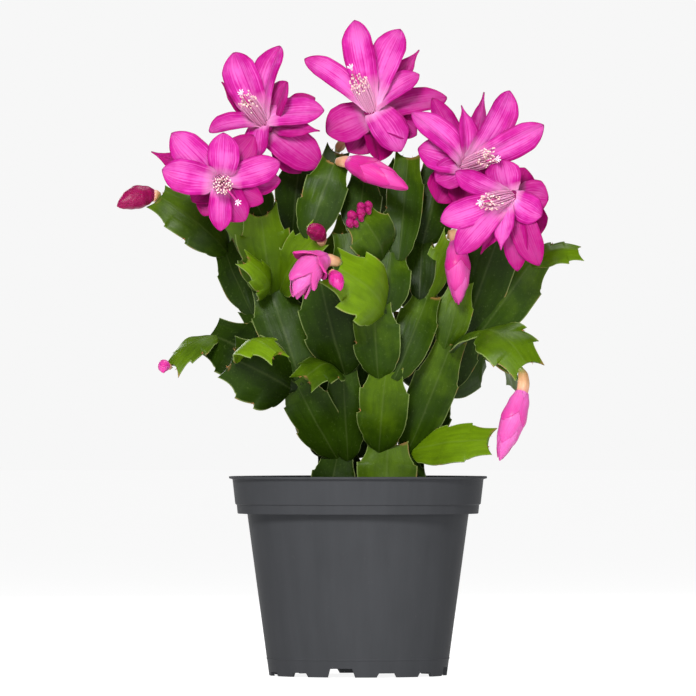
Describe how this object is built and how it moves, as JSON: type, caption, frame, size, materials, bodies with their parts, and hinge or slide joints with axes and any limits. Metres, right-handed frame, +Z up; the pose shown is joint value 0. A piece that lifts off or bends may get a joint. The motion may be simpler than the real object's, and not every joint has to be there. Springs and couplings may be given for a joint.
{
  "type": "potted christmas cactus",
  "caption": "Christmas cactus with flat toothed green joints, magenta open blooms and buds, growing in a dark grey nursery pot with a stepped collar.",
  "frame": {"origin": "middle of the whole plant's bounding box, at the foot of the pot; the pot's own axis stands 3.6 mm to +X and 7.2 mm to -Y of it", "axes": "+Z up along the pot's axis, -Y towards the side that shows best (the side in the picture)"},
  "size_m": [0.2174, 0.1706, 0.3048],
  "materials": {
    "pot_plastic": "satin",
    "soil": "matt",
    "joint_green": "satin, waxy",
    "petal_magenta": "soft satin",
    "bud_pink": "soft satin",
    "stamen_cream": "matt",
    "ovary_orange": "satin"
  },
  "bodies": {
    "root": {"pot": "pot_plastic", "soil": "soil", "stem_left": "joint_green", "stem_front": "joint_green", "stem_right": "joint_green", "stem_back_right": "joint_green", "stem_back_left": "joint_green", "bloom_1_petals": "petal_magenta", "bloom_1_stamens": "stamen_cream", "bloom_1_ovary": "ovary_orange", "bloom_2_petals": "petal_magenta", "bloom_2_stamens": "stamen_cream", "bloom_2_ovary": "ovary_orange", "bloom_3_petals": "petal_magenta", "bloom_3_stamens": "stamen_cream", "bloom_3_ovary": "ovary_orange", "bloom_4_petals": "petal_magenta", "bloom_4_stamens": "stamen_cream", "bloom_4_ovary": "ovary_orange", "bloom_5_petals": "petal_magenta", "bloom_5_stamens": "stamen_cream", "bloom_5_ovary": "ovary_orange", "bud_far_left": "bud_pink", "bud_far_left_tube": "ovary_orange", "bud_top": "bud_pink", "bud_top_tube": "ovary_orange", "bud_opening": "bud_pink", "bud_opening_tube": "ovary_orange", "bud_small": "bud_pink", "bud_small_tube": "ovary_orange", "bud_round": "bud_pink", "bud_round_tube": "ovary_orange", "bud_hanging": "bud_pink", "bud_hanging_tube": "ovary_orange", "bud_low_right": "bud_pink", "bud_low_right_tube": "ovary_orange", "bud_left_tip": "bud_pink", "bud_left_tip_tube": "ovary_orange", "bud_back_left": "bud_pink", "bud_back_left_tube": "ovary_orange", "bud_back_right": "bud_pink", "bud_back_right_tube": "ovary_orange", "bud_bunch": "bud_pink", "bud_beads_left": "bud_pink"}
  },
  "joints": []
}
